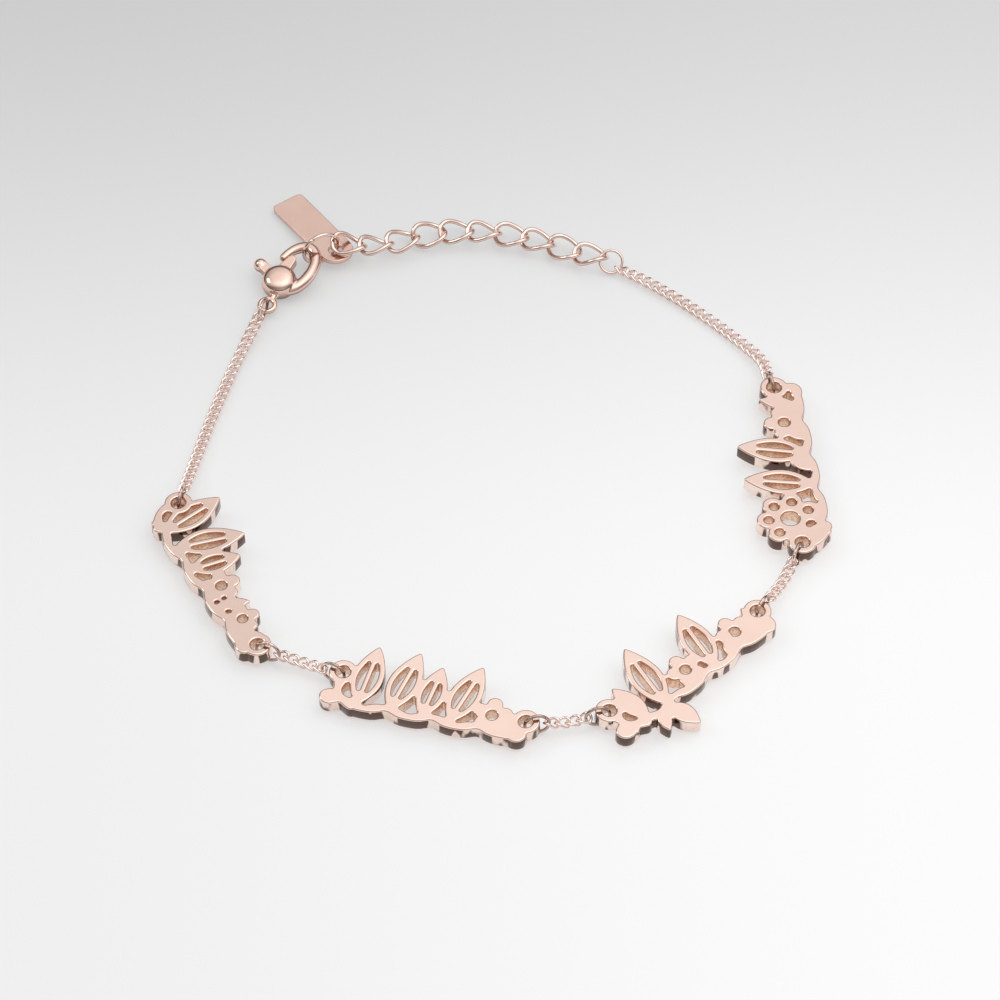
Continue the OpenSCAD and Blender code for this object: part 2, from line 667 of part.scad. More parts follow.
// Bare tag, round at its near end. The tag ring's wire passes through its hole low on
// the far side from the clasp, and the tag slopes from there down to the surface.
tag_wire_angle = 57;
tag_hole_at = tag_ring_centre + tag_ring_d / 2 * sin(tag_wire_angle) * tag_ring_dir
    - [0, 0, tag_ring_d / 2 * cos(tag_wire_angle)];
module tag() {
    corner = 0.5;
    tag_far = tag_len - tag_w / 2;
    color(pale_rose)
    translate(tag_hole_at)
    rotate([0, 0, tag_heading]) rotate([0, tag_slope, 0])
    difference() {
        translate([0, 0, -tag_t / 2]) linear_extrude(tag_t) {
            circle(d = tag_w, $fn = 48);
            translate([0, -tag_w / 2]) square([tag_far - corner, tag_w]);
            translate([0, corner - tag_w / 2]) square([tag_far, tag_w - 2 * corner]);
            for (side = [-1, 1]) translate([tag_far - corner, side * (tag_w / 2 - corner)])
                circle(r = corner, $fn = 24);
        }
        translate([0, 0, -tag_t]) cylinder(d = tag_hole_d, h = 2 * tag_t, $fn = 32);
    }
}
plate_left();
plate_front_left();
plate_front_right();
plate_right();
for (i = [1:8]) lug_ring(i - 1);
chain_left();
chain_front_left();
chain_front();
chain_front_right();
chain_right();
clasp_body();
clasp_lever();
clasp_ring();
extender_ring();
for (i = [1:wide_links]) extender_link(i);
tag_ring();
tag();
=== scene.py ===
import math
from collections import namedtuple

import bmesh
import bpy
import numpy as np
from mathutils import Matrix, Vector, geometry


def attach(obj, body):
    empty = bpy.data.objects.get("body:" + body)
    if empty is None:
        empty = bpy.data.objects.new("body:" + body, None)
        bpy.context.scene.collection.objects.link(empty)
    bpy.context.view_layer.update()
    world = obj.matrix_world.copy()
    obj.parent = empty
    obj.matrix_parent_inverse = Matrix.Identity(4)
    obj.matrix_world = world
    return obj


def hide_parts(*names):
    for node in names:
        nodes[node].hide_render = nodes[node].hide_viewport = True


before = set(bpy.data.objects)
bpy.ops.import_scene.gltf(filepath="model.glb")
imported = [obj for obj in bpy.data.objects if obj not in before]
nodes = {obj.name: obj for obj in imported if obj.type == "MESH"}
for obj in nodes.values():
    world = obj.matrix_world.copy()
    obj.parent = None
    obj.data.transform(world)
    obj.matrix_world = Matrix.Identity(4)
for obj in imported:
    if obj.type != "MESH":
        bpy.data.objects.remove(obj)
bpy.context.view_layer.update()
scene = bpy.context.scene

# Sizes and places of the bracelet are in millimetres and degrees, as the solids have them
MM = 0.001

# Clearances between links that interlock, at a link's end over a ring's wire, and above the floor
LINK_GAP = 0.14
HOOK_GAP = 0.2
FLOOR_GAP = 0.01

# Plates in their order round the loop: middle between the lug holes, heading and span of the
# baseline, and the height of both lug holes above it
PLATE_T = 1.4
PLATE_LIFT = 0.66
PLATE_MID = PLATE_LIFT + PLATE_T / 2
Plate = namedtuple("Plate", "node x y heading span lug_a lug_b")
PLATES = [
    Plate("plate_left", -25.97, -14.43, heading=-61, span=19.2, lug_a=3.5, lug_b=1.8),
    Plate("plate_front_left", -5.37, -29.63, heading=-14.5, span=18.1, lug_a=3.9, lug_b=2.3),
    Plate("plate_front_right", 18.03, -25.23, heading=44.6, span=18.6, lug_a=3.7, lug_b=2.5),
    Plate("plate_right", 28.33, -0.73, heading=98.5, span=19.8, lug_a=3.1, lug_b=2.5),
]

# Lugs, and the jump rings in them, which lie a little further out than the middle of the rim
LUG_D = 2.7
LUG_HOLE_D = 1.35
LUG_RIM = (LUG_D / 2 + LUG_HOLE_D / 2) / 2
JUMP_D = 2.3
JUMP_WIRE = 0.32
RING_PLAY = 0.05
RING_OUT = LUG_RIM + RING_PLAY

# The other rings: mean diameter, wire and place
TAIL_RING_D = 2.2
END_RING_D = 2.2
END_RING_WIRE = 0.28
END_RING_AT = (11.63, 26.37)
END_RING_TILT = 42
END_RING_LIFT = 0.24
TAG_RING_D = 3.64
TAG_RING_WIRE = 0.4
TAG_RING_HEADING = 24

# Curb links: wire, width between the wires' centres and height of the twist. Their wire is drawn
# a little stronger than the solids', within the gaps, and slightly flat. The mesh has the given
# steps around the link and sides around its wire.
Curb = namedtuple("Curb", "wire width twist drawn flat around sides")
FINE = Curb(wire=0.26, width=0.98, twist=0.25, drawn=0.29, flat=0.94, around=32, sides=12)
WIDE = Curb(wire=0.4, width=2.4, twist=-0.42, drawn=0.46, flat=0.96, around=64, sides=16)
FINE_PITCH = 0.92
WIDE_ROLLS = [-4, -16, -2, 14, 2, -12, 4, -6, 10, -4]

# Clasp, measured from the centre of its tail eye
CLASP_AT = (-21.87, 20.77)
CLASP_HEADING = 58.5
CLASP_PITCH = 7
HOUSING_T = 2.5
HOUSING_X = 2.95
HOUSING_Y = 0.45
HOUSING_R = 1.75
CLAW_R = 0.6
CLAW_HALF_L = 2.85
CLAW_HALF_W = 1.7
CLAW_X = 4.95
CLAW_START = 200
CLAW_TIP = 76
EYE_D = 1.48
EYE_WIRE = 0.56
PIVOT = (2.9, 0.9)
PIN_D = 0.8
PIN_INSET = 0.3
LEVER_T = 1.0
LEVER_GAP = 0.08
SLOT_BACK = 1.05
SLOT_SIZE = (3.4, 4)

# Chosen points of the chains' routes
ROUTE_LEFT = [(-28.37, 1.07, 0.6), (-27.07, 6.07, 0.46), (-25.57, 11.07, 0.46), (-24.27, 14.87, 0.55)]
ROUTE_FRONT_LEFT = [(-17.87, -24.83, 1.15)]
ROUTE_FRONT = [(7.03, -32.13, 1.1)]
ROUTE_FRONT_RIGHT = [(27.53, -15.03, 1.15)]
ROUTE_RIGHT = [(26.03, 13.67, 0.9), (23.23, 17.17, 0.48), (19.43, 20.77, 0.48), (15.53, 23.77, 0.62)]
ROUTE_EXTENDER = [
    (-11.27, 28.17, 1.4), (-7.57, 29.57, 1.2), (-3.37, 30.37, 1.2), (1.03, 29.97, 1.2),
    (5.03, 28.87, 1.2), (8.23, 27.57, 1.1),
]


# Directions
def vec(*v):
    return np.array(v, float)


RIGHT = vec(1, 0, 0)
AHEAD = vec(0, 1, 0)
UP = vec(0, 0, 1)


def unit(v):
    return v / np.linalg.norm(v)


def cosd(a):
    return math.cos(math.radians(a))


def sind(a):
    return math.sin(math.radians(a))


def heading_dir(a):
    return vec(cosd(a), sind(a), 0)


def flat_dir(a, b):
    return unit(vec(b[0] - a[0], b[1] - a[1], 0))


# Routes: a smooth curve through chosen points, walked by its length
CURVE_STEPS = 10


def smooth(points):
    pts = [np.array(p, float) for p in points]
    out = []
    for i in range(len(pts) - 1):
        a, b, c, d = pts[max(0, i - 1)], pts[i], pts[i + 1], pts[min(len(pts) - 1, i + 2)]
        for k in range(CURVE_STEPS):
            t = k / CURVE_STEPS
            square = (2 * a - 5 * b + 4 * c - d) * t
            cube = (3 * b - a - 3 * c + d) * t * t
            out.append(b + t / 2 * ((c - a) + square + cube))
    out.append(pts[-1])
    return np.array(out)


class Route:
    def __init__(self, points):
        self.pts = smooth(points)
        steps = np.linalg.norm(np.diff(self.pts, axis=0), axis=1)
        self.runs = np.concatenate([[0], np.cumsum(steps)])
        self.length = self.runs[-1]

    def at(self, s):
        i = int(np.clip(np.searchsorted(self.runs, s) - 1, 0, len(self.pts) - 2))
        k = (s - self.runs[i]) / (self.runs[i + 1] - self.runs[i])
        return self.pts[i] + k * (self.pts[i + 1] - self.pts[i])


# Meshes
def add_object(name, verts, faces, smooth_faces=True):
    mesh = bpy.data.meshes.new(name)
    mesh.from_pydata([tuple(float(c) for c in v) for v in verts], [], [tuple(f) for f in faces])
    mesh.validate()
    obj = bpy.data.objects.new(name, mesh)
    scene.collection.objects.link(obj)
    mesh.polygons.foreach_set("use_smooth", [smooth_faces] * len(mesh.polygons))
    mesh.update()
    return obj


def outward(obj):
    bm = bmesh.new()
    bm.from_mesh(obj.data)
    bmesh.ops.recalc_face_normals(bm, faces=bm.faces)
    bm.to_mesh(obj.data)
    bm.free()


def turns(sides):
    """Cosine and sine of each step around a wire."""
    return [(math.cos(2 * math.pi * k / sides), math.sin(2 * math.pi * k / sides)) for k in range(sides)]


def band(a, b, sides, flipped=False):
    """Quads between two rings of vertices, which begin at a and at b."""
    quads = [(a + k, a + (k + 1) % sides, b + (k + 1) % sides, b + k) for k in range(sides)]
    return [(p, s, r, q) for p, q, r, s in quads] if flipped else quads


def lid(start, sides):
    """One face over a ring of vertices."""
    return tuple(range(start, start + sides))


# Curb chains and rings of wire
def add_link(verts, faces, kind, centre, direction, roll, half):
    """A twisted oval link of a half length, rolled about its own direction."""
    level = unit(np.cross(UP, direction))
    above = np.cross(direction, level)
    side = level * cosd(roll) + above * sind(roll)
    up = above * cosd(roll) - level * sind(roll)
    points = []
    for i in range(kind.around):
        t = 2 * math.pi * (i + 0.5) / kind.around
        oval = centre + direction * half * math.cos(t) + side * kind.width / 2 * math.sin(t)
        points.append((oval + up * kind.twist * math.sin(2 * t)) * MM)
    broad = kind.drawn / 2 * MM
    thin = kind.drawn / 2 * kind.flat * MM
    start = len(verts)
    for i, point in enumerate(points):
        after = (i + 1) % kind.around
        tangent = unit(points[after] - points[i - 1])
        across = unit(np.cross(tangent, up))
        lift = np.cross(across, tangent)
        verts += [point + broad * c * across + thin * s * lift for c, s in turns(kind.sides)]
        faces += band(start + i * kind.sides, start + after * kind.sides, kind.sides)


def hook_in(end_wire, wire):
    return end_wire / 2 + wire / 2 + HOOK_GAP


def laid_links(kind, points, wire_a, wire_b, count=None):
    """Centre, direction and half length of each link on a route from one ring's wire to another's.
    Without a count, as many links fill the route as come nearest to the fine pitch."""
    route = Route(points)
    hook_a = hook_in(wire_a, kind.wire)
    hooks = hook_a + hook_in(wire_b, kind.wire)
    run = route.length - kind.wire - LINK_GAP + hooks
    if count is None:
        count = max(1, round(run / FINE_PITCH))
    pitch = run / count
    half = (pitch + kind.wire + LINK_GAP) / 2
    links = []
    for i in range(count):
        s = half - hook_a + i * pitch
        a, b = route.at(s - pitch / 2), route.at(s + pitch / 2)
        links.append(((a + b) / 2, unit(b - a), half))
    return links


ROLLING_LINKS = 3


def fine_chain(name, points, wire_a, wire_b, end_roll):
    """A fine chain, whose last few links roll step by step to the roll of its end."""
    verts, faces = [], []
    links = laid_links(FINE, points, wire_a, wire_b)
    for i, (centre, direction, half) in enumerate(links):
        roll = end_roll * max(0, i + 1 - len(links) + ROLLING_LINKS) / ROLLING_LINKS
        add_link(verts, faces, FINE, centre, direction, roll, half)
    return add_object(name, verts, faces)


RING_STEPS = 72
RING_SIDES = 16
SEAM_WIDTH = 0.035


def ring(name, centre, along, up, d, wire, seam):
    """A bent ring of wire in the plane of two directions, with a hairline seam at an angle."""
    verts, faces = [], []
    normal = unit(np.cross(along, up))
    r = wire / 2
    gap = SEAM_WIDTH / (d / 2)
    start = math.radians(seam) + gap / 2
    span = 2 * math.pi - gap
    for i in range(RING_STEPS + 1):
        t = start + span * i / RING_STEPS
        out = math.cos(t) * along + math.sin(t) * up
        verts += [(centre + (d / 2 + r * c) * out + r * s * normal) * MM for c, s in turns(RING_SIDES)]
    for i in range(RING_STEPS):
        faces += band(i * RING_SIDES, (i + 1) * RING_SIDES, RING_SIDES)
    faces.append(lid(0, RING_SIDES)[::-1])
    faces.append(lid(RING_STEPS * RING_SIDES, RING_SIDES))
    obj = add_object(name, verts, faces)
    for poly in obj.data.polygons:
        poly.use_smooth = len(poly.vertices) == 4
    outward(obj)
    return obj


# Flat cut-out pieces: the outline of a node's top face is read from its mesh, and the
# piece is built again with softly rounded edges. These lengths are in metres.
SAME_POINT = 1e-6
LEAST_STEP = 8e-6
LEAST_POINTS = 6
TOP_DEPTH = 2e-5
TOP_STEPS = 4
UNDER_STEPS = 2
SHARP_ANGLE = 38
FACE, OUTER_WALL, HOLE_WALL = 0, 1, 2


def ordered_loops(pairs):
    after = {}
    for a, b in pairs:
        after.setdefault(a, []).append(b)
    loops = []
    while after:
        first = next(iter(after))
        loop, here = [], first
        while here in after:
            there = after[here].pop()
            if not after[here]:
                del after[here]
            loop.append(here)
            here = there
            if here == first:
                break
        loops.append(loop)
    return loops


def cleaned(loop):
    """The loop without points that lie closer together than the least step."""
    kept = []
    for p in loop:
        if not kept or np.linalg.norm(p - kept[-1]) > LEAST_STEP:
            kept.append(p)
    while len(kept) > 3 and np.linalg.norm(kept[0] - kept[-1]) <= LEAST_STEP:
        kept.pop()
    return np.array(kept)


def inset(loop, d):
    """The loop moved by a distance to the left of its edges, so into the metal."""
    e0, e1 = loop - np.roll(loop, 1, axis=0), np.roll(loop, -1, axis=0) - loop
    e0 /= np.linalg.norm(e0, axis=1)[:, None]
    e1 /= np.linalg.norm(e1, axis=1)[:, None]
    m = np.stack([-e0[:, 1], e0[:, 0]], 1) + np.stack([-e1[:, 1], e1[:, 0]], 1)
    scale = np.maximum((m * m).sum(1) / 2, 0.5)
    return loop + d * m / scale[:, None]


def rounded_normal(face):
    return tuple(round(c, 2) for c in face.normal)


def top_normal(bm):
    """The direction that most of the upward area faces."""
    area = {}
    for f in bm.faces:
        if f.normal.z > 0.5:
            key = rounded_normal(f)
            area[key] = area.get(key, 0) + f.calc_area()
    best = max(area, key=area.get)
    total = sum((f.normal * f.calc_area() for f in bm.faces if rounded_normal(f) == best), Vector())
    return total.normalized()


def top_loops(bm, n, e1, e2, top):
    """The borders of the top face, as points along two directions in its plane."""
    def on_top(f):
        return f.normal.dot(n) > 0.99 and abs(f.calc_center_median().dot(n) - top) < TOP_DEPTH

    cap = {f for f in bm.faces if on_top(f)}
    pairs = []
    for f in bm.faces:
        if f not in cap:
            continue
        for corner in f.loops:
            if all(g is f or g not in cap for g in corner.edge.link_faces):
                pairs.append((corner.vert.index, corner.link_loop_next.vert.index))
    flat = [np.array([v.co.dot(e1), v.co.dot(e2)]) for v in bm.verts]
    loops = [cleaned([flat[i] for i in loop]) for loop in ordered_loops(pairs)]
    return [loop for loop in loops if len(loop) >= LEAST_POINTS]


def edge_profile(edge, under_edge, top, bottom):
    """Inset and height down the side, from the top face's border to the underside's."""
    upper = [math.pi / 2 * k / TOP_STEPS for k in range(TOP_STEPS, -1, -1)]
    lower = [math.pi / 2 * k / UNDER_STEPS for k in range(UNDER_STEPS + 1)]
    down = [(edge * (1 - math.cos(a)), top - edge * (1 - math.sin(a))) for a in upper]
    under = [(under_edge * (1 - math.cos(a)), bottom + under_edge * (1 - math.sin(a))) for a in lower]
    return down + under


def add_sides(verts, faces, kinds, loops, profile, axes):
    """The rounded edges and the wall along each border. The widest border is the outer one."""
    e1, e2, n = axes
    outer = max(range(len(loops)), key=lambda k: np.ptp(loops[k][:, 0]))
    rings = []
    for which, loop in enumerate(loops):
        starts = []
        for d, z in profile:
            starts.append(len(verts))
            verts += [p[0] * e1 + p[1] * e2 + z * n for p in inset(loop, d)]
        rings.append(starts)
        wall = OUTER_WALL if which == outer else HOLE_WALL
        for k in range(len(profile) - 1):
            faces += band(starts[k], starts[k + 1], len(loop), flipped=True)
            kinds += [wall if k == TOP_STEPS else FACE] * len(loop)
    return rings


def add_caps(verts, faces, kinds, loops, rings, profile, n):
    """The top face and the underside, each filled between all borders."""
    for level, underside in ((0, False), (len(profile) - 1, True)):
        outlines, index = [], []
        for loop, starts in zip(loops, rings):
            border = inset(loop, profile[level][0]) / MM
            outlines.append([Vector((float(x), float(y), 0)) for x, y in border])
            index += [starts[level] + i for i in range(len(loop))]
        for corners in geometry.tessellate_polygon(outlines):
            ids = [index[i] for i in corners]
            a, b, c = (np.array(verts[i]) for i in ids)
            upward = np.dot(np.cross(b - a, c - a), n) > 0
            faces.append(tuple(ids) if upward != underside else tuple(ids[::-1]))
            kinds.append(FACE)


def mark_sharp_edges(mesh):
    bm = bmesh.new()
    bm.from_mesh(mesh)
    for e in bm.edges:
        if len(e.link_faces) == 2 and e.calc_face_angle(0) > math.radians(SHARP_ANGLE):
            e.smooth = False
    bm.to_mesh(mesh)
    bm.free()


def flat_piece(name, node, edge, under_edge):
    bm = bmesh.new()
    bm.from_mesh(nodes[node].data)
    bmesh.ops.remove_doubles(bm, verts=bm.verts, dist=SAME_POINT)
    bm.verts.index_update()
    n = top_normal(bm)
    heights = [v.co.dot(n) for v in bm.verts]
    top, bottom = max(heights), min(heights)
    e1 = n.cross(Vector(AHEAD)).normalized()
    e2 = n.cross(e1)
    loops = top_loops(bm, n, e1, e2, top)
    bm.free()
    profile = edge_profile(edge * MM, under_edge * MM, top, bottom)
    axes = np.array([e1, e2, n], float)
    verts, faces, kinds = [], [], []
    rings = add_sides(verts, faces, kinds, loops, profile, axes)
    add_caps(verts, faces, kinds, loops, rings, profile, axes[2])
    obj = add_object(name, verts, faces)
    for poly, kind in zip(obj.data.polygons, kinds):
        poly.use_smooth = len(poly.vertices) == 4
        poly.material_index = kind
    mark_sharp_edges(obj.data)
    return obj


# Cast pieces: shells in millimetres are fused by a fine remesh and smoothed, so that they blend
SAME_CAST_POINT = 1e-4


def baked(obj):
    depsgraph = bpy.context.evaluated_depsgraph_get()
    mesh = bpy.data.meshes.new_from_object(obj.evaluated_get(depsgraph))
    obj.modifiers.clear()
    obj.data = mesh


def remeshed(obj, voxel, rounds):
    mod = obj.modifiers.new("remesh", "REMESH")
    mod.mode = "VOXEL"
    mod.voxel_size = voxel
    baked(obj)
    bm = bmesh.new()
    bm.from_mesh(obj.data)
    for _ in range(rounds):
        bmesh.ops.smooth_vert(bm, verts=bm.verts, factor=0.5,
                              use_axis_x=True, use_axis_y=True, use_axis_z=True)
    bm.to_mesh(obj.data)
    bm.free()


def finished_cast(obj, place):
    obj.data.transform(place)
    obj.data.polygons.foreach_set("use_smooth", [True] * len(obj.data.polygons))
    obj.data.materials.clear()
    obj.data.update()
    return obj


def tube(verts, faces, points, radii, sides):
    """An open run of round wire with closed ends, in the plane of XY."""
    start, n = len(verts), len(points)
    for i in range(n):
        tangent = unit(points[min(n - 1, i + 1)] - points[max(0, i - 1)])
        across = unit(np.cross(tangent, UP))
        lift = np.cross(across, tangent)
        verts += [points[i] + radii[i] * (c * across + s * lift) for c, s in turns(sides)]
    faces.append(lid(start, sides)[::-1])
    for i in range(n - 1):
        faces += band(start + i * sides, start + (i + 1) * sides, sides)
    faces.append(lid(start + (n - 1) * sides, sides))


def revolved(verts, faces, profile, centre, axes, sides):
    """A closed solid of revolution from (radius, height) pairs that begin and end on the axis."""
    start = len(verts)
    across, up, axis = axes
    inner = profile[1:-1]
    for r, h in inner:
        verts += [centre + r * (c * across + s * up) + h * axis for c, s in turns(sides)]
    low, high = len(verts), len(verts) + 1
    last = start + (len(inner) - 1) * sides
    verts += [centre + profile[0][1] * axis, centre + profile[-1][1] * axis]
    for k in range(sides):
        m = (k + 1) % sides
        faces.append((low, start + m, start + k))
        faces.append((high, last + k, last + m))
    for i in range(len(inner) - 1):
        faces += band(start + i * sides, start + (i + 1) * sides, sides)


def torus(verts, faces, centre, axes, d, wire, around, sides):
    start = len(verts)
    across, up, axis = axes
    r = wire / 2
    for i in range(around):
        t = 2 * math.pi * i / around
        out = math.cos(t) * across + math.sin(t) * up
        verts += [centre + (d / 2 + r * c) * out + r * s * axis for c, s in turns(sides)]
        faces += band(start + i * sides, start + (i + 1) % around * sides, sides, flipped=True)


def box_object(low, high):
    verts = [vec(x, y, z) for x in (low[0], high[0]) for y in (low[1], high[1]) for z in (low[2], high[2])]
    faces = [(0, 1, 3, 2), (4, 6, 7, 5), (0, 4, 5, 1), (2, 3, 7, 6), (0, 2, 6, 4), (1, 5, 7, 3)]
    return add_object("cutter", verts, faces, False)


# Clasp body: claw, housing and tail eye as one casting, with the lever's slot and the pivot pin
LYING = (RIGHT, AHEAD, UP)
ALONG_CLASP = (AHEAD, UP, RIGHT)
CLAW_STEPS = 90
# The claw swells until the first share of its run, and narrows from the second on
CLAW_ROOT, CLAW_SWELL, CLAW_FULL_FROM = 0.8, 1.6, 0.12
CLAW_TAPER, CLAW_FULL_TO = 0.95, 0.7
# The tip is rounded off in steps that end just short of a point
TIP_STEPS, TIP_FULL, TIP_LENGTH = 8, 8.3, 0.9
# Powers below 1 make the dome fuller than a ball at its rim and on its top
DOME_STEPS, DOME_RIM, DOME_TOP = 40, 0.62, 0.86
# The neck's radius and its distance from the eye's wire
NECK = [(EYE_WIRE / 2, 0), (EYE_WIRE / 2 + 0.08, 0.5), (0.6, 1.1), (0.95, 1.8)]


def claw_at(a):
    return vec(CLAW_X + CLAW_HALF_L * cosd(a), CLAW_HALF_W * sind(a), 0)


def claw_radius(k):
    if k < CLAW_FULL_FROM:
        return CLAW_R * (CLAW_ROOT + k * CLAW_SWELL)
    if k < CLAW_FULL_TO:
        return CLAW_R
    return CLAW_R * (1 - (k - CLAW_FULL_TO) * CLAW_TAPER)


def add_claw(verts, faces):
    span = 360 + CLAW_TIP - CLAW_START
    points = [claw_at(CLAW_START + span * k / CLAW_STEPS) for k in range(CLAW_STEPS + 1)]
    radii = [claw_radius(k / CLAW_STEPS) for k in range(CLAW_STEPS + 1)]
    end, tip = points[-1], radii[-1]
    ahead = unit(end - points[-2])
    for k in range(1, TIP_STEPS + 1):
        a = math.pi / 2 * k / TIP_FULL
        points.append(end + ahead * tip * TIP_LENGTH * math.sin(a))
        radii.append(tip * math.cos(a))
    tube(verts, faces, points, radii, sides=32)


def add_housing(verts, faces):
    dome = []
    for k in range(DOME_STEPS + 1):
        a = math.pi * (k / DOME_STEPS - 0.5)
        r = HOUSING_R * abs(math.cos(a)) ** DOME_RIM
        dome.append((r, HOUSING_T / 2 * math.copysign(abs(math.sin(a)) ** DOME_TOP, a)))
    revolved(verts, faces, dome, vec(HOUSING_X, HOUSING_Y, 0), LYING, sides=72)


def add_eye(verts, faces):
    neck = [(0, NECK[0][1]), *NECK, (0, NECK[-1][1])]
    revolved(verts, faces, neck, vec(EYE_D / 2, 0, 0), ALONG_CLASP, sides=40)
    torus(verts, faces, vec(0, 0, 0), LYING, EYE_D, EYE_WIRE, around=64, sides=24)


def cut_lever_slot(obj):
    half = LEVER_T / 2 + LEVER_GAP
    x, y = PIVOT[0] - SLOT_BACK, HOUSING_Y - SLOT_BACK
    cutter = box_object((x, y, -half), (x + SLOT_SIZE[0], y + SLOT_SIZE[1], half))
    mod = obj.modifiers.new("slot", "BOOLEAN")
    mod.operation = "DIFFERENCE"
    mod.object = cutter
    baked(obj)
    bpy.data.objects.remove(cutter)


def add_pivot_pin(obj):
    reach = HOUSING_T / 2 - PIN_INSET
    profile = [(0, -reach), (PIN_D / 2, -reach), (PIN_D / 2, reach), (0, reach)]
    verts, faces = [], []
    revolved(verts, faces, profile, vec(*PIVOT, 0), LYING, sides=40)
    bm = bmesh.new()
    bm.from_mesh(obj.data)
    made = [bm.verts.new(v) for v in verts]
    for f in faces:
        bm.faces.new([made[i] for i in f])
    bm.to_mesh(obj.data)
    bm.free()


def clasp_body_cast(place):
    verts, faces = [], []
    add_claw(verts, faces)
    add_housing(verts, faces)
    add_eye(verts, faces)
    obj = add_object("clasp_body_cast", verts, faces)
    outward(obj)
    remeshed(obj, voxel=0.055, rounds=9)
    cut_lever_slot(obj)
    remeshed(obj, voxel=0.045, rounds=3)
    add_pivot_pin(obj)
    return finished_cast(obj, place)


def clasp_lever_cast():
    mesh = nodes["clasp_lever"].data.copy()
    mesh.transform(Matrix.Scale(1 / MM, 4))
    obj = bpy.data.objects.new("clasp_lever_cast", mesh)
    scene.collection.objects.link(obj)
    bm = bmesh.new()
    bm.from_mesh(mesh)
    bmesh.ops.remove_doubles(bm, verts=bm.verts, dist=SAME_CAST_POINT)
    bm.to_mesh(mesh)
    bm.free()
    remeshed(obj, voxel=0.04, rounds=8)
    return finished_cast(obj, Matrix.Scale(MM, 4))


# Shader nodes
def node_group(name, inputs, outputs):
    group = bpy.data.node_groups.new(name, "ShaderNodeTree")
    for label, kind, value in inputs:
        sock = group.interface.new_socket(label, in_out="INPUT", socket_type=kind)
        sock.default_value = value
    for label, kind in outputs:
        group.interface.new_socket(label, in_out="OUTPUT", socket_type=kind)
    return group, group.nodes.new("NodeGroupInput"), group.nodes.new("NodeGroupOutput")


def feed(tree, value, sock):
    """Gives a socket a number, or links it to another node's output."""
    if isinstance(value, (int, float)):
        sock.default_value = value
    else:
        tree.links.new(value, sock)


def math_node(tree, op, a, b):
    n = tree.nodes.new("ShaderNodeMath")
    n.operation = op
    feed(tree, a, n.inputs[0])
    feed(tree, b, n.inputs[1])
    return n.outputs[0]


def noise(tree, coords, scale, detail, rough=0.5):
    n = tree.nodes.new("ShaderNodeTexNoise")
    tree.links.new(coords, n.inputs["Vector"])
    feed(tree, scale, n.inputs["Scale"])
    n.inputs["Detail"].default_value = detail
    n.inputs["Roughness"].default_value = rough
    return n.outputs["Fac"]


def map_range(tree, value, low, high, to_low=0.0, to_high=1.0):
    n = tree.nodes.new("ShaderNodeMapRange")
    n.interpolation_type = "SMOOTHSTEP"
    tree.links.new(value, n.inputs["Value"])
    for label, v in (("From Min", low), ("From Max", high), ("To Min", to_low), ("To Max", to_high)):
        n.inputs[label].default_value = v
    return n.outputs["Result"]


def mixed(tree, factor, a, b):
    n = tree.nodes.new("ShaderNodeMix")
    n.data_type = "RGBA"
    tree.links.new(factor, n.inputs["Factor"])
    tree.links.new(a, n.inputs["A"])
    tree.links.new(b, n.inputs["B"])
    return n.outputs["Result"]


def separated(tree, vector):
    n = tree.nodes.new("ShaderNodeSeparateXYZ")
    tree.links.new(vector, n.inputs[0])
    return n.outputs


# Metals. Noise scales are in cycles a metre, so that 300 gives clouds about 3 mm across. A band
# is the range of the noise over which its effect comes in.
CLOUD_SCALE = 300.0
CLOUD_BAND = (0.35, 0.65)
# Dark painted reflections: noise drawn out upwards stands in for dark surroundings mirrored in the
# polished metal
PAINTED_REFLECTION_SCALE = 760.0
PAINTED_REFLECTION_BAND = (0.465, 0.515)
PAINTED_REFLECTION_STRETCH = 0.3
SPECK_BAND = (0.56, 0.4)
# Height of the surface's normal, from where the painted shade on surfaces facing down begins to where it
# is darkest
PAINTED_SHADE_BAND = (0.3, -0.35)
GRAIN_HEIGHT = 0.00003
MOST_UNEVEN = 0.3
LEAST_ROUGHNESS = 0.03
# Dark colours that the painted reflections, the painted shade on undersides and the specks in the grain
# are mixed towards
PAINTED_SHADE_BROWN = (0.15, 0.08, 0.06)
PAINTED_SHADE_AND_SPECK_UMBER = (0.055, 0.022, 0.014)
PAINTED_REFLECTION_AND_SPECK_ORANGE = (0.5, 0.26, 0.17)


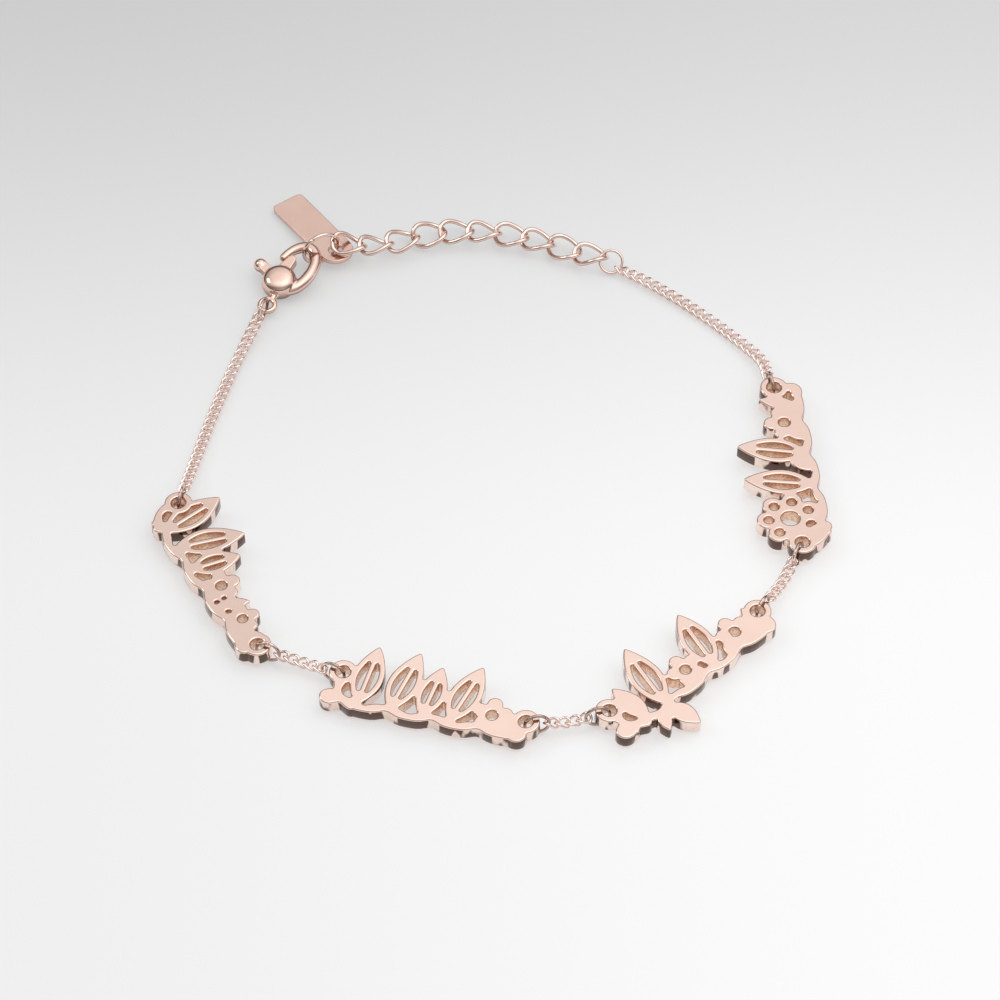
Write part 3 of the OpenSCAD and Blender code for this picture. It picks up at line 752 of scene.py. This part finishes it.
def metal_surface_group():
    """Plated metal: soft clouds of a deeper tone, dark painted reflections drawn out upwards, undersides
    made darker as painted shade, and a fine grain with dark specks in its pits."""
    t, given, made = node_group(
        "plated_metal_surface",
        [
            ("Base", "NodeSocketColor", (0.9, 0.7, 0.6, 1)),
            ("Deep", "NodeSocketColor", (0.7, 0.45, 0.36, 1)),
            ("Dark", "NodeSocketColor", (0.2, 0.1, 0.07, 1)),
            ("Clouds", "NodeSocketFloat", 0.5),
            ("Painted reflections", "NodeSocketFloat", 0.0),
            ("Speckle", "NodeSocketFloat", 0.0),
            ("Painted underside shade", "NodeSocketFloat", 0.4),
            ("Roughness", "NodeSocketFloat", 0.12),
            ("Grain", "NodeSocketFloat", 0.1),
            ("Grain scale", "NodeSocketFloat", 3000.0),
        ],
        [("Color", "NodeSocketColor"), ("Roughness", "NodeSocketFloat"), ("Normal", "NodeSocketVector")])
    value = given.outputs
    place = t.nodes.new("ShaderNodeTexCoord")
    coords = place.outputs["Object"]

    clouds = map_range(t, noise(t, coords, CLOUD_SCALE, 3.0), *CLOUD_BAND)
    tone = mixed(t, math_node(t, "MULTIPLY", clouds, value["Clouds"]), value["Base"], value["Deep"])

    # Painted reflections: dark streaks drawn out upwards, mixed towards the dark colour
    upright = t.nodes.new("ShaderNodeMapping")
    upright.inputs["Scale"].default_value = (1.0, 1.0, PAINTED_REFLECTION_STRETCH)
    t.links.new(coords, upright.inputs["Vector"])
    painted_reflections = map_range(t, noise(t, upright.outputs["Vector"], PAINTED_REFLECTION_SCALE, 1.5, 0.4), *PAINTED_REFLECTION_BAND)
    # Painted shade: surfaces that face downwards are mixed towards the dark colour
    downward_facing = map_range(t, separated(t, place.outputs["Normal"])["Z"], *PAINTED_SHADE_BAND)
    painted_reflection_amount = math_node(t, "MULTIPLY", painted_reflections, value["Painted reflections"])
    painted_underside_shade = math_node(t, "MULTIPLY", downward_facing, value["Painted underside shade"])
    tone_with_painted_shade = mixed(t, math_node(t, "MAXIMUM", painted_reflection_amount, painted_underside_shade), tone, value["Dark"])

    grain = noise(t, coords, value["Grain scale"], 4.0)
    specks = math_node(t, "MULTIPLY", map_range(t, grain, *SPECK_BAND), value["Speckle"])
    t.links.new(mixed(t, specks, tone_with_painted_shade, value["Dark"]), made.inputs["Color"])

    uneven = math_node(t, "MINIMUM", value["Grain"], MOST_UNEVEN)
    spread = math_node(t, "MULTIPLY", math_node(t, "SUBTRACT", grain, 0.5), uneven)
    rough = math_node(t, "ADD", value["Roughness"], spread)
    t.links.new(math_node(t, "MAXIMUM", rough, LEAST_ROUGHNESS), made.inputs["Roughness"])

    bump = t.nodes.new("ShaderNodeBump")
    bump.inputs["Distance"].default_value = GRAIN_HEIGHT
    t.links.new(value["Grain"], bump.inputs["Strength"])
    t.links.new(grain, bump.inputs["Height"])
    t.links.new(bump.outputs["Normal"], made.inputs["Normal"])
    return t


METAL = metal_surface_group()


# The dark colour goes into the painted reflections, the painted shade on the undersides and the specks;
# underside sets how strongly surfaces facing down are made darker as painted shade
def metal(name, base, deep, dark=PAINTED_SHADE_BROWN, clouds=0.5, painted_reflections=0, speckle=0, underside=0,
          roughness=0.1, grain=0.03, grain_scale=4200.0):
    mat = bpy.data.materials.new(name)
    mat.use_nodes = True
    tree = mat.node_tree
    shader = tree.nodes["Principled BSDF"]
    shader.inputs["Metallic"].default_value = 1.0
    surface = tree.nodes.new("ShaderNodeGroup")
    surface.node_tree = METAL
    values = {
        "Base": (*base, 1), "Deep": (*deep, 1), "Dark": (*dark, 1),
        "Clouds": clouds, "Painted reflections": painted_reflections, "Speckle": speckle, "Painted underside shade": underside,
        "Roughness": roughness, "Grain": grain, "Grain scale": grain_scale,
    }
    for label, value in values.items():
        surface.inputs[label].default_value = value
    tree.links.new(surface.outputs["Color"], shader.inputs["Base Color"])
    tree.links.new(surface.outputs["Roughness"], shader.inputs["Roughness"])
    tree.links.new(surface.outputs["Normal"], shader.inputs["Normal"])
    return mat


face_metal = metal("plate_face_metal", (0.9, 0.68, 0.59), (0.87, 0.625, 0.535),
                   grain=0.008, grain_scale=2500.0)
wall_metal = metal("plate_outer_wall_metal", (0.99, 0.82, 0.74), (0.86, 0.6, 0.5), PAINTED_SHADE_AND_SPECK_UMBER, clouds=0.45,
                   painted_reflections=0.92, speckle=0.1, grain=0.16, grain_scale=5200.0)
# Hole walls: a rough, strong grain, and a base lighter than the face's as painted light that lifts the
# shade inside the holes
hole_metal = metal("plate_hole_wall_metal", (1.0, 0.82, 0.66), (1.0, 0.68, 0.5), PAINTED_REFLECTION_AND_SPECK_ORANGE, clouds=0.6,
                   painted_reflections=0.3, speckle=0.5, roughness=0.24, grain=1.0, grain_scale=5200.0)
# Jump rings: dark painted reflections, and painted shade on the sides that face down
ring_metal = metal("ring_metal", (0.94, 0.72, 0.63), (0.8, 0.54, 0.45), PAINTED_SHADE_AND_SPECK_UMBER, painted_reflections=0.45,
                   underside=0.75, roughness=0.08)
wire_metal = metal("wire_metal", (0.97, 0.74, 0.66), (0.88, 0.64, 0.56), underside=0.6)
fine_metal = metal("fine_wire_metal", (1.0, 0.84, 0.78), (0.95, 0.73, 0.66), underside=0.1, roughness=0.12)
clasp_metal = metal("clasp_metal", (0.88, 0.63, 0.54), (0.82, 0.56, 0.47), underside=0.8,
                    roughness=0.09, grain=0.02, grain_scale=2600.0)
tag_metal = metal("tag_metal", (0.93, 0.67, 0.575), (0.88, 0.6, 0.505), clouds=0.6, underside=0.5,
                  roughness=0.24, grain=0.04, grain_scale=5200.0)


def dress(obj, node, slot, *mats, body="bracelet"):
    for m in mats:
        obj.data.materials.append(m)
    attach(obj, body)
    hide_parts(node)


# Where the lugs are, two to a plate, and where the chains meet the wires of the rings in them
lugs = []
for p in PLATES:
    line = p.heading + math.degrees(math.atan2(p.lug_b - p.lug_a, p.span))
    reach = math.hypot(p.span, p.lug_b - p.lug_a) / 2
    for end in (-1, 1):
        lugs.append(vec(p.x, p.y, PLATE_MID) + end * reach * heading_dir(line))
toward = [
    ROUTE_LEFT[0], ROUTE_FRONT_LEFT[0], ROUTE_FRONT_LEFT[0], ROUTE_FRONT[0],
    ROUTE_FRONT[0], ROUTE_FRONT_RIGHT[0], ROUTE_FRONT_RIGHT[0], ROUTE_RIGHT[0],
]
lug_dirs = [flat_dir(a, b) for a, b in zip(lugs, toward)]
lug_wires = [a + (RING_OUT + JUMP_D / 2) * d for a, d in zip(lugs, lug_dirs)]

# Plates, with the radii of their upper and lower edges
PLATE_EDGE = 0.16
UNDER_EDGE = 0.06
for p in PLATES:
    plate = flat_piece(p.node + "_polished", p.node, PLATE_EDGE, UNDER_EDGE)
    dress(plate, p.node, "plates", face_metal, wall_metal, hole_metal)

# Jump rings in the lugs, with their seams at three angles in turn
for i, (lug, d) in enumerate(zip(lugs, lug_dirs)):
    seam = 50 + 35 * (i % 3)
    jump_ring = ring(f"ring_{i + 1}_wire", lug + RING_OUT * d, d, UP, JUMP_D, JUMP_WIRE, seam)
    dress(jump_ring, f"ring_{i + 1}", "links", ring_metal)

# Clasp's jump ring, upright on the floor and through the tail eye
clasp_mid = HOUSING_T / 2 + FLOOR_GAP - HOUSING_X * sind(CLASP_PITCH)
tail_ring_z = (TAIL_RING_D + JUMP_WIRE) / 2 + FLOOR_GAP
tail_out = math.sqrt((TAIL_RING_D / 2) ** 2 - (tail_ring_z - clasp_mid) ** 2)
tail_dir = flat_dir(CLASP_AT, ROUTE_LEFT[-1])
tail_centre = vec(*CLASP_AT, tail_ring_z) + tail_out * tail_dir
tail_wire = tail_centre + TAIL_RING_D / 2 * tail_dir
tail_ring = ring("clasp_ring_wire", tail_centre, tail_dir, UP, TAIL_RING_D, JUMP_WIRE, seam=62)
dress(tail_ring, "clasp_ring", "links", ring_metal)

# Thin ring at the extender's far end, leaning back
end_z = (END_RING_D + END_RING_WIRE) / 2 * sind(END_RING_TILT) + END_RING_LIFT
end_centre = vec(*END_RING_AT, end_z)
end_up = vec(0, cosd(END_RING_TILT), sind(END_RING_TILT))


def end_wire_at(d):
    rise = d[1] * math.tan(math.radians(END_RING_TILT))
    return end_centre + END_RING_D / 2 * unit(vec(d[0], d[1], rise))


end_left = end_wire_at(flat_dir(end_centre, ROUTE_EXTENDER[-1]))
end_right = end_wire_at(flat_dir(end_centre, ROUTE_RIGHT[-1]))
end_ring = ring("extender_ring_wire", end_centre, RIGHT, end_up, END_RING_D, END_RING_WIRE, seam=100)
dress(end_ring, "extender_ring", "links", wire_metal)

# Ring that the clasp hooks into, upright on the floor
hooked = CLAW_X + CLAW_HALF_L - CLAW_R - TAG_RING_WIRE / 2 - 1.5 * LINK_GAP
tag_dir = heading_dir(TAG_RING_HEADING)
tag_ring_z = (TAG_RING_D + TAG_RING_WIRE) / 2 + FLOOR_GAP
tag_left = vec(*CLASP_AT, 0) + hooked * cosd(CLASP_PITCH) * heading_dir(CLASP_HEADING)
tag_centre = tag_left + TAG_RING_D / 2 * tag_dir + vec(0, 0, tag_ring_z)
tag_right = tag_centre + TAG_RING_D / 2 * tag_dir
tag_ring = ring("tag_ring_wire", tag_centre, tag_dir, UP, TAG_RING_D, TAG_RING_WIRE, seam=118)
dress(tag_ring, "tag_ring", "links", wire_metal)

# Fine chains: node, start, route between, end, wire of the ring there, and roll of the last link
FINE_CHAINS = [
    ("chain_left", lug_wires[0], ROUTE_LEFT, tail_wire, JUMP_WIRE, 0),
    ("chain_front_left", lug_wires[1], ROUTE_FRONT_LEFT, lug_wires[2], JUMP_WIRE, 0),
    ("chain_front", lug_wires[3], ROUTE_FRONT, lug_wires[4], JUMP_WIRE, 0),
    ("chain_front_right", lug_wires[5], ROUTE_FRONT_RIGHT, lug_wires[6], JUMP_WIRE, 0),
    ("chain_right", lug_wires[7], ROUTE_RIGHT, end_right, END_RING_WIRE, 18),
]
for node, first, between, last, last_wire, end_roll in FINE_CHAINS:
    chain = fine_chain(node + "_links", [first, *between, last], JUMP_WIRE, last_wire, end_roll)
    dress(chain, node, "links", fine_metal)

# Extender, each link a piece of its own
extender_route = [tag_right, *ROUTE_EXTENDER, end_left]
wide_links = laid_links(WIDE, extender_route, TAG_RING_WIRE, END_RING_WIRE, len(WIDE_ROLLS))
for i, (centre, direction, half) in enumerate(wide_links):
    verts, faces = [], []
    add_link(verts, faces, WIDE, centre, direction, WIDE_ROLLS[i], half)
    link = add_object(f"extender_link_{i + 1}_wire", verts, faces)
    dress(link, f"extender_link_{i + 1}", "links", wire_metal)

# Clasp and lever
clasp_place = (
    Matrix.Scale(MM, 4)
    @ Matrix.Translation((*CLASP_AT, clasp_mid))
    @ Matrix.Rotation(math.radians(CLASP_HEADING), 4, "Z")
    @ Matrix.Rotation(math.radians(-CLASP_PITCH), 4, "Y")
)
dress(clasp_body_cast(clasp_place), "clasp_body", "clasp", clasp_metal)
dress(clasp_lever_cast(), "clasp_lever", "clasp", clasp_metal, body="lever")

# Tag, with one finish on its face and walls
TAG_EDGE = 0.09
dress(flat_piece("tag_plate", "tag", TAG_EDGE, UNDER_EDGE), "tag", "tag", tag_metal, tag_metal, tag_metal)

# Floor, in metres. Its colour darkens a little to the rear and to the left as painted shade, and it glows
# as painted light, which keeps it light and lifts the shadows cast on it.
FLOOR_HALF = 3
FLOOR_DROP = 0.00002
FLOOR_ROUGHNESS = 0.55
FLOOR_TONE = 0.5
FLOOR_PAINTED_GLOW = 0.505
REAR_PAINTED_SHADE_BAND, REAR_PAINTED_SHADE_LEVEL = (-0.02, 0.085), 0.655
LEFT_PAINTED_SHADE_BAND, LEFT_PAINTED_SHADE_LEVEL = (-0.055, 0.05), 0.88


def painted_light_floor():
    mat = bpy.data.materials.new("floor_painted_shade_and_glow")
    mat.use_nodes = True
    tree = mat.node_tree
    shader = tree.nodes["Principled BSDF"]
    shader.inputs["Roughness"].default_value = FLOOR_ROUGHNESS
    place = separated(tree, tree.nodes.new("ShaderNodeTexCoord").outputs["Object"])
    # Painted shade towards the rear and the left; the glow below is painted light
    rear = map_range(tree, place["Y"], *REAR_PAINTED_SHADE_BAND, 1.0, REAR_PAINTED_SHADE_LEVEL)
    left = map_range(tree, place["X"], *LEFT_PAINTED_SHADE_BAND, LEFT_PAINTED_SHADE_LEVEL, 1.0)
    painted_light_level = math_node(tree, "MULTIPLY", rear, left)
    tree.links.new(math_node(tree, "MULTIPLY", painted_light_level, FLOOR_TONE), shader.inputs["Base Color"])
    tree.links.new(painted_light_level, shader.inputs["Emission Color"])
    shader.inputs["Emission Strength"].default_value = FLOOR_PAINTED_GLOW
    return mat


floor_corners = [(x * FLOOR_HALF, y * FLOOR_HALF, 0) for x, y in ((-1, -1), (1, -1), (1, 1), (-1, 1))]
floor = add_object("floor", floor_corners, [(0, 1, 2, 3)], False)
floor.location.z = -FLOOR_DROP
floor.data.materials.append(painted_light_floor())

# Light: a tent all round, given as a place from 0 to 1 and the level there. The first levels
# follow an arc from the horizon behind, over the top, to the horizon in front. The second run
# from the left end to the right end, as a share of the first.
ARC_LEVELS = [
    (0.0, 0.1), (0.12, 0.2), (0.18, 0.6), (0.225, 0.88), (0.265, 0.88), (0.29, 0.91), (0.325, 1.1),
    (0.42, 1.3), (0.5, 1.55), (0.6, 1.45), (0.7, 0.9), (0.78, 0.4), (0.84, 0.42), (0.92, 0.42),
    (0.97, 0.12), (1.0, 0.06),
]
SIDE_LEVELS = [(0.0, 0.28), (0.25, 0.6), (0.5, 1.0), (0.6, 1.16), (0.75, 1.15), (0.88, 0.75), (1.0, 0.5)]


def grey_levels(tree, value, stops):
    """Levels along a value from 0 to 1 as shares of the highest, and the highest."""
    n = tree.nodes.new("ShaderNodeValToRGB")
    tree.links.new(value, n.inputs["Fac"])
    while len(n.color_ramp.elements) < len(stops):
        n.color_ramp.elements.new(0.5)
    highest = max(level for place, level in stops)
    for stop, (place, level) in zip(n.color_ramp.elements, stops):
        stop.position = place
        stop.color = (level / highest, level / highest, level / highest, 1)
    return n.outputs["Color"], highest


def studio_tent():
    world = bpy.data.worlds.new("studio")
    world.use_nodes = True
    tree = world.node_tree
    background = tree.nodes["Background"]
    sky = separated(tree, tree.nodes.new("ShaderNodeTexCoord").outputs["Generated"])
    arc = math_node(tree, "DIVIDE", math_node(tree, "ARCTAN2", sky["Z"], sky["Y"]), math.pi)
    arc_level, arc_highest = grey_levels(tree, arc, ARC_LEVELS)
    side = math_node(tree, "ADD", math_node(tree, "MULTIPLY", sky["X"], 0.5), 0.5)
    side_level, side_highest = grey_levels(tree, side, SIDE_LEVELS)
    strength = math_node(tree, "MULTIPLY", side_level, arc_highest * side_highest)
    tree.links.new(arc_level, background.inputs["Color"])
    tree.links.new(strength, background.inputs["Strength"])
    return world


def area_light(name, place, aim, size, power):
    light = bpy.data.lights.new(name, "AREA")
    light.shape = "SQUARE"
    light.size = size
    light.energy = power
    obj = bpy.data.objects.new(name, light)
    obj.location = place
    obj.rotation_euler = (Vector(aim) - Vector(place)).to_track_quat("-Z", "Y").to_euler()
    scene.collection.objects.link(obj)


scene.world = studio_tent()
area_light("softbox_left", place=(-0.55, 0.15, 0.5), aim=(0, 0, 0), size=0.25, power=0.5)

# Camera, in metres: the photograph looks down on the bracelet from the front, from far off
ELEVATION = 49.0
DISTANCE = 0.9
TARGET = Vector((0.00078, -0.00355, 0.0))
PX_PER_M = 10450.0
IMAGE_PX = 1000.0
SENSOR_MM = 36.0
cam_data = bpy.data.cameras.new("camera")
cam_data.sensor_width = SENSOR_MM
cam_data.lens = SENSOR_MM * PX_PER_M * DISTANCE / IMAGE_PX
cam_data.clip_start = 0.01
cam = bpy.data.objects.new("camera", cam_data)
look = Vector((0, cosd(ELEVATION), -sind(ELEVATION)))
cam.location = TARGET - look * DISTANCE
cam.rotation_euler = look.to_track_quat("-Z", "Y").to_euler()
scene.collection.objects.link(cam)
bpy.context.scene.camera = cam
scene.view_settings.view_transform = "Standard"
